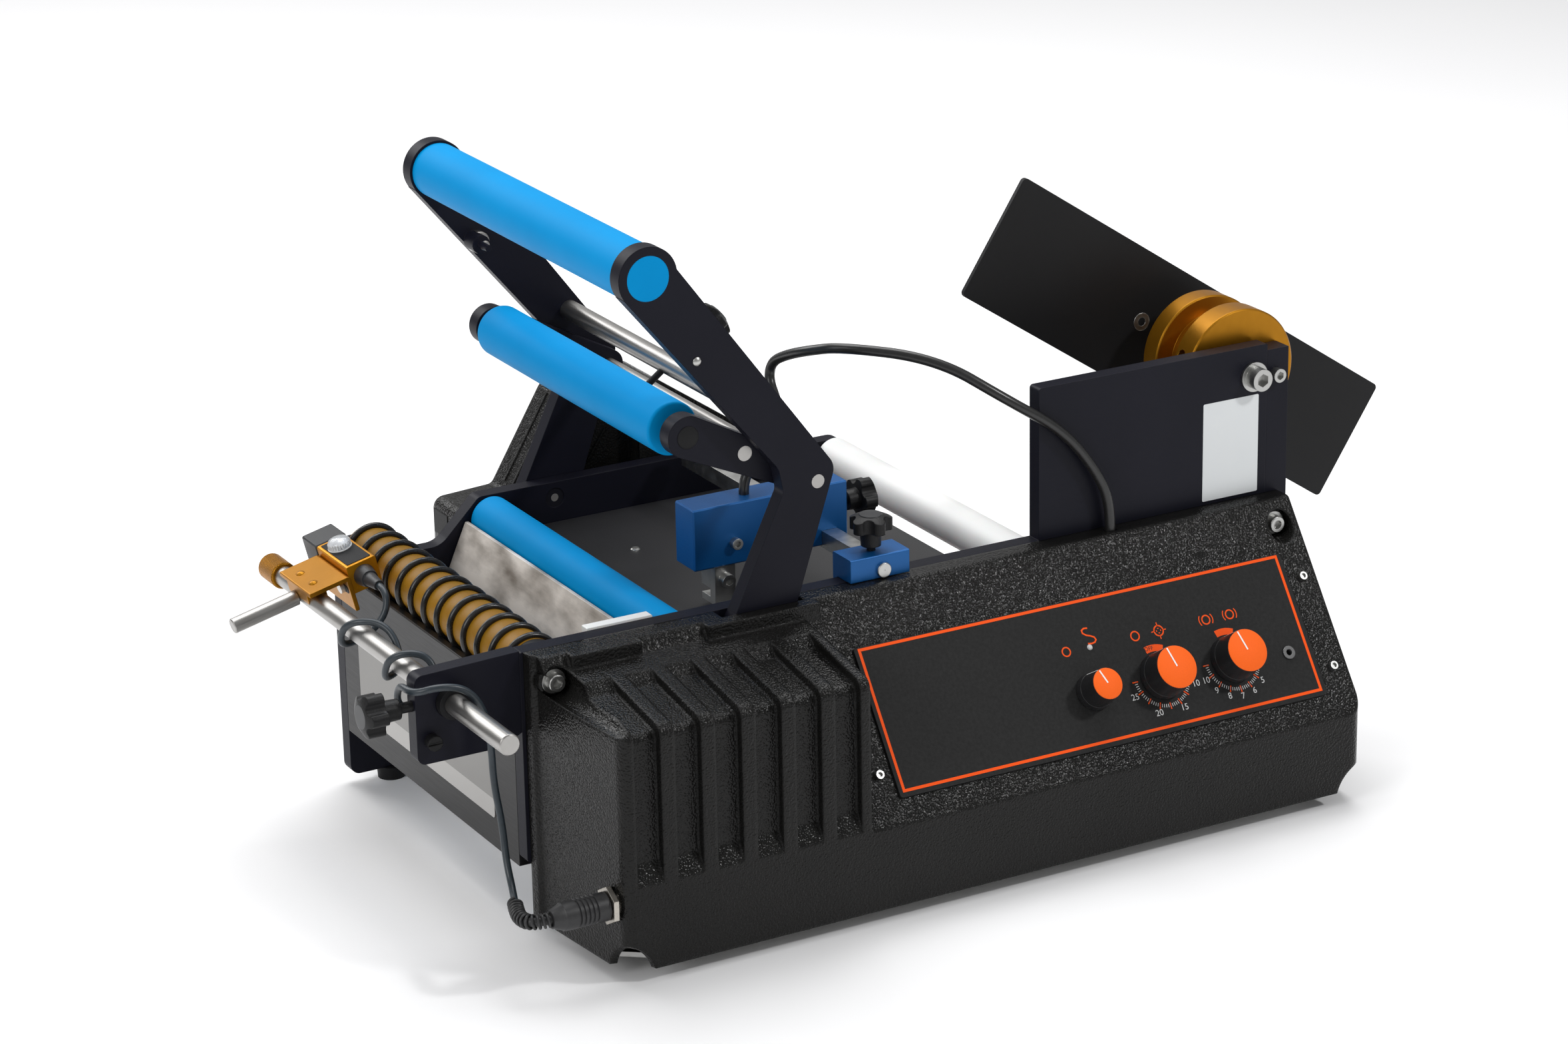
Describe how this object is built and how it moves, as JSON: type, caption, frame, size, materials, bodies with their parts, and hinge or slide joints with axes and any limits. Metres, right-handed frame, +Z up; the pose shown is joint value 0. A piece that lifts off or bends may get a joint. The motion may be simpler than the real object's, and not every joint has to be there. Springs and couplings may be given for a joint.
{
  "type": "bench label dispenser machine",
  "caption": "Semi-automatic bench labeller for round bottles: pull-down handle with a pressure roller, ringed drive roller, label reel, ribbed side cover with a control panel, two sensors.",
  "frame": {"origin": "middle of the base's outline, on the bench", "axes": "+X towards the control panel, +Y towards the label reel at the back, +Z up"},
  "size_m": [0.385, 0.7178, 0.3823],
  "materials": {
    "black_anodised": "satin anodised",
    "black_textured": "pebble texture, semi-gloss",
    "flap_grey": "brushed, grey-black",
    "panel_black": "fine grain, satin",
    "steel": "satin",
    "bright_steel": "polished",
    "amber": "smooth, satin",
    "blue_sleeve": "satin",
    "blue_anodised": "satin anodised",
    "gold_anodised": "satin anodised",
    "black_rubber": "smooth",
    "black_plastic": "satin",
    "white_plastic": "satin",
    "board_green": "satin",
    "zinc": "bright zinc",
    "black_metal": "matt black"
  },
  "bodies": {
    "machine_frame": {"left_side_plate": "black_anodised", "right_side_plate": "black_anodised", "rear_post": "black_anodised", "cross_ties": "steel", "rubber_feet": "black_rubber", "right_cover": "black_textured", "cover_base_plate": "steel", "left_cover": "black_textured", "frame_screws": "zinc", "control_panel": "panel_black", "electronics": "board_green", "sockets": "black_plastic", "bed_tray": "black_metal", "peel_plate": "steel", "edge_strip": "white_plastic", "drive_motor": "black_metal", "drive_belt": "black_rubber", "arm_pins": "bright_steel", "arm_return_spring": "steel", "reel_shaft": "bright_steel", "reel_bush": "white_plastic", "rod_bracket": "black_anodised", "cable_plug": "black_plastic", "sensor_cable_lower": "black_plastic", "label_cable_upper": "black_plastic"},
    "flap": {"front_flap": "flap_grey"},
    "pinch": {"pinch_roller": "blue_sleeve"},
    "drive": {"drive_roller": "amber", "drive_roller_rings": "black_rubber"},
    "pulley": {"motor_pulley": "zinc"},
    "cradle": {"cradle_roller": "blue_sleeve"},
    "guide": {"guide_roller": "white_plastic"},
    "arms": {"left_arm": "black_anodised", "right_arm": "black_anodised", "handle_grip": "blue_sleeve", "arm_rods": "bright_steel"},
    "yoke": {"yoke_links": "black_anodised", "yoke_rods": "bright_steel"},
    "pressure": {"pressure_roller": "blue_sleeve"},
    "adjuster": {"adjuster_knob": "black_plastic"},
    "hub": {"reel_hub": "gold_anodised"},
    "side_guide": {"reel_guide": "black_metal"},
    "power": {"power_knob": "black_plastic"},
    "length_control": {"length_dial": "black_plastic"},
    "gap_control": {"gap_dial": "black_plastic"},
    "bar_slide": {"bar_clamp": "blue_anodised", "sensor_bar": "zinc"},
    "bar_screw": {"bar_clamp_knob": "black_plastic"},
    "label_sensor": {"sensor_block": "blue_anodised", "label_fork": "steel", "label_cable_lower": "black_plastic"},
    "label_sensor_screw": {"sensor_block_knob": "black_plastic"},
    "collar": {"rod_collar": "black_metal"},
    "bottle_sensor_rod": {"sensor_rod": "bright_steel", "sensor_bracket": "gold_anodised", "bottle_sensor": "gold_anodised", "sensor_end_caps": "black_plastic", "sensor_cable_upper": "black_plastic"},
    "rod_screw": {"rod_end_knob": "gold_anodised"},
    "bracket_screw": {"bracket_knob": "black_plastic"}
  },
  "joints": [
    {"name": "arm_swing", "type": "hinge", "parent": "machine_frame", "child": "arms", "pos_m": [-0.0225, -0.12591, 0.156], "axis": [1, 0, 0], "range_deg": [0, 38], "stiffness_Nm_per_rad": 6, "springref_deg": -28.65, "deforming": ["arm_return_spring"]},
    {"name": "yoke_swing", "type": "hinge", "parent": "arms", "child": "yoke", "pos_m": [-0.0225, -0.08691, 0.233], "axis": [1, 0, 0], "range_deg": [-1.9, 1.9]},
    {"name": "adjuster_turn", "type": "hinge", "parent": "arms", "child": "adjuster", "pos_m": [-0.0225, -0.10691, 0.2674], "axis": [0, 0.802, 0.5973], "range_deg": [-690, 690]},
    {"name": "pressure_roller_turn", "type": "hinge", "parent": "yoke", "child": "pressure", "pos_m": [-0.0225, -0.16091, 0.2685], "axis": [1, 0, 0], "continuous": true},
    {"name": "drive_roller_turn", "type": "hinge", "parent": "machine_frame", "child": "drive", "pos_m": [-0.0225, -0.24831, 0.1479], "axis": [1, 0, 0], "continuous": true},
    {"name": "motor_turn", "type": "hinge", "parent": "machine_frame", "child": "pulley", "pos_m": [0.0875, -0.21691, 0.07], "axis": [1, 0, 0], "continuous": true},
    {"name": "cradle_roller_turn", "type": "hinge", "parent": "machine_frame", "child": "cradle", "pos_m": [-0.0225, -0.16901, 0.152], "axis": [1, 0, 0], "continuous": true},
    {"name": "guide_roller_turn", "type": "hinge", "parent": "machine_frame", "child": "guide", "pos_m": [-0.0225, 0.06509, 0.147], "axis": [1, 0, 0], "continuous": true},
    {"name": "flap_open", "type": "hinge", "parent": "machine_frame", "child": "flap", "pos_m": [-0.0225, -0.26441, 0.1366], "axis": [1, 0, 0], "range_deg": [-60, 0]},
    {"name": "pinch_roller_turn", "type": "hinge", "parent": "flap", "child": "pinch", "pos_m": [-0.0225, -0.25291, 0.1216], "axis": [1, 0, 0], "continuous": true},
    {"name": "reel_hub_turn", "type": "hinge", "parent": "machine_frame", "child": "hub", "pos_m": [0.0655, 0.21059, 0.2387], "axis": [1, 0, 0], "continuous": true},
    {"name": "side_guide_slide", "type": "slide", "parent": "machine_frame", "child": "side_guide", "axis": [1, 0, 0], "range_m": [-0.11, 0]},
    {"name": "power_turn", "type": "hinge", "parent": "machine_frame", "child": "power", "pos_m": [0.16542, 0.05859, 0.09474], "axis": [0.8162, 0, 0.5778], "range_deg": [-90, 0]},
    {"name": "length_turn", "type": "hinge", "parent": "machine_frame", "child": "length_control", "pos_m": [0.16542, 0.10469, 0.09474], "axis": [0.8162, 0, 0.5778], "range_deg": [-135, 135]},
    {"name": "gap_turn", "type": "hinge", "parent": "machine_frame", "child": "gap_control", "pos_m": [0.16542, 0.15309, 0.09474], "axis": [0.8162, 0, 0.5778], "range_deg": [-135, 135]},
    {"name": "bar_slide", "type": "slide", "parent": "machine_frame", "child": "bar_slide", "axis": [0, 1, 0], "range_m": [-0.015, 0.045], "deforming": ["label_cable_upper"]},
    {"name": "bar_clamp_turn", "type": "hinge", "parent": "bar_slide", "child": "bar_screw", "pos_m": [0.0975, -0.04491, 0.18], "axis": [0, 0, 1], "range_deg": [-180, 180]},
    {"name": "block_slide", "type": "slide", "parent": "bar_slide", "child": "label_sensor", "axis": [1, 0, 0], "range_m": [-0.12, 0.03]},
    {"name": "block_clamp_turn", "type": "hinge", "parent": "label_sensor", "child": "label_sensor_screw", "pos_m": [0.0365, -0.03091, 0.1875], "axis": [0, 1, 0], "range_deg": [-180, 180]},
    {"name": "rod_turn", "type": "hinge", "parent": "machine_frame", "child": "collar", "pos_m": [0.0975, -0.30791, 0.147], "axis": [1, 0, 0], "range_deg": [-20, 20], "deforming": ["sensor_cable_lower"]},
    {"name": "rod_slide", "type": "slide", "parent": "collar", "child": "bottle_sensor_rod", "axis": [1, 0, 0], "range_m": [-0.04, 0.04], "deforming": ["sensor_cable_upper"]},
    {"name": "rod_end_turn", "type": "hinge", "parent": "bottle_sensor_rod", "child": "rod_screw", "pos_m": [-0.1325, -0.30791, 0.147], "axis": [1, 0, 0], "range_deg": [-180, 180]},
    {"name": "bracket_screw_turn", "type": "hinge", "parent": "machine_frame", "child": "bracket_screw", "pos_m": [0.0975, -0.34691, 0.147], "axis": [0, 1, 0], "range_deg": [-180, 180]}
  ],
  "couplings": [
    {"joint": "adjuster_turn", "follows": "yoke_swing", "ratio": 357},
    {"joint": "motor_turn", "follows": "drive_roller_turn", "ratio": 1.3725}
  ]
}
